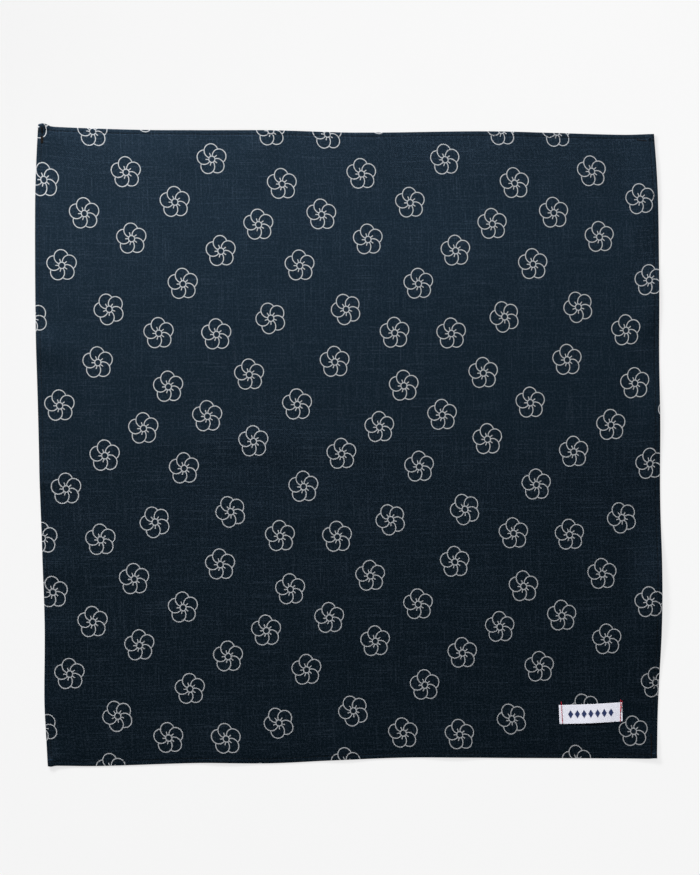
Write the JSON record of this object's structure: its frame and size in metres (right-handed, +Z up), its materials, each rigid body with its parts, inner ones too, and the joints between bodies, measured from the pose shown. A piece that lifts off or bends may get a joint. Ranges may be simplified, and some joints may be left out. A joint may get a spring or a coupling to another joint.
{
  "type": "square cotton bandana laid flat",
  "caption": "Square cotton bandana laid flat, dark with scattered line-drawn blossoms, hemmed all round, with a small bare woven label near one corner.",
  "frame": {"origin": "middle of the laid cloth's outline, on the surface that it lies on", "axes": "+X to the right and +Y away from the label's edge as the cloth is looked down on, +Z up, out of the face of the cloth"},
  "size_m": [0.5546, 0.5668, 0.0068],
  "materials": {
    "slub_cotton": "plain-woven slub cotton dyed dark blue-green, matt, with small line-drawn blossoms in pale grey",
    "woven_label": "satin-woven white ribbon, faint sheen"
  },
  "bodies": {
    "root": {"cloth": "slub_cotton", "label": "woven_label"}
  },
  "joints": []
}
